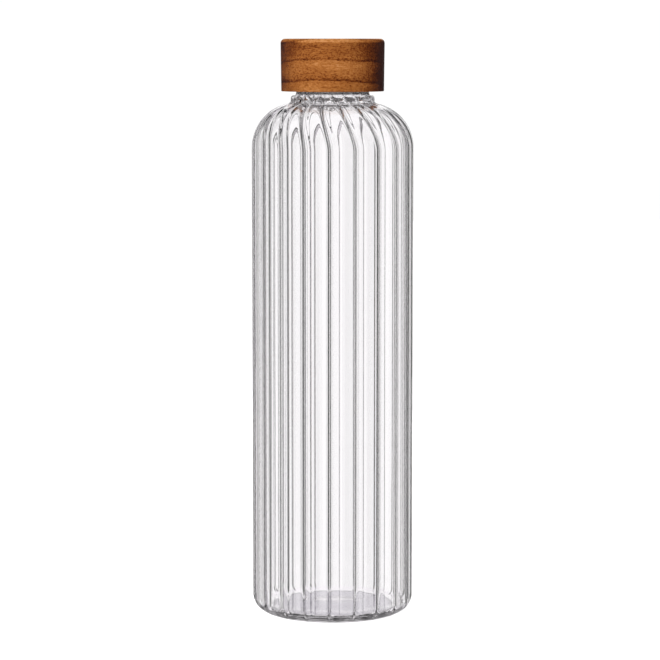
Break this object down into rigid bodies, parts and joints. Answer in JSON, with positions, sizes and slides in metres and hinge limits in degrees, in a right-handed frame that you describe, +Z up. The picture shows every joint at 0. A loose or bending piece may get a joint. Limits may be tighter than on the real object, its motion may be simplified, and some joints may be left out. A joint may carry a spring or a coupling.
{
  "type": "ribbed glass water bottle",
  "caption": "Tall clear glass water bottle with vertical rounded ribs, a round shoulder, a short threaded neck and a turned wooden screw cap.",
  "frame": {"origin": "middle of the base, on the surface the bottle stands on", "axes": "+Z up along the bottle's axis, from the base to the cap; a crease between two ribs lies on each of +X, -X, +Y and -Y"},
  "size_m": [0.0796, 0.0796, 0.284],
  "materials": {
    "clear_glass": "clear and polished",
    "cap_wood": "satin oiled hardwood with a darker grain",
    "liner_plastic": "moulded, satin",
    "seal_silicone": "soft, translucent white"
  },
  "bodies": {
    "bottle": {"glass_bottle": "clear_glass"},
    "lift": {"seal_ring": "seal_silicone"},
    "cap": {"wooden_cap": "cap_wood", "threaded_liner": "liner_plastic"}
  },
  "joints": [
    {"name": "cap_rise", "type": "slide", "parent": "bottle", "child": "lift", "axis": [0, 0, 1], "range_m": [0, 0.02]},
    {"name": "cap_turn", "type": "hinge", "parent": "lift", "child": "cap", "pos_m": [0, 0, 0.27], "axis": [0, 0, 1], "range_deg": [0, 1800]}
  ],
  "couplings": [
    {"joint": "cap_rise", "follows": "cap_turn", "m_per_rad": 0.0006366}
  ]
}
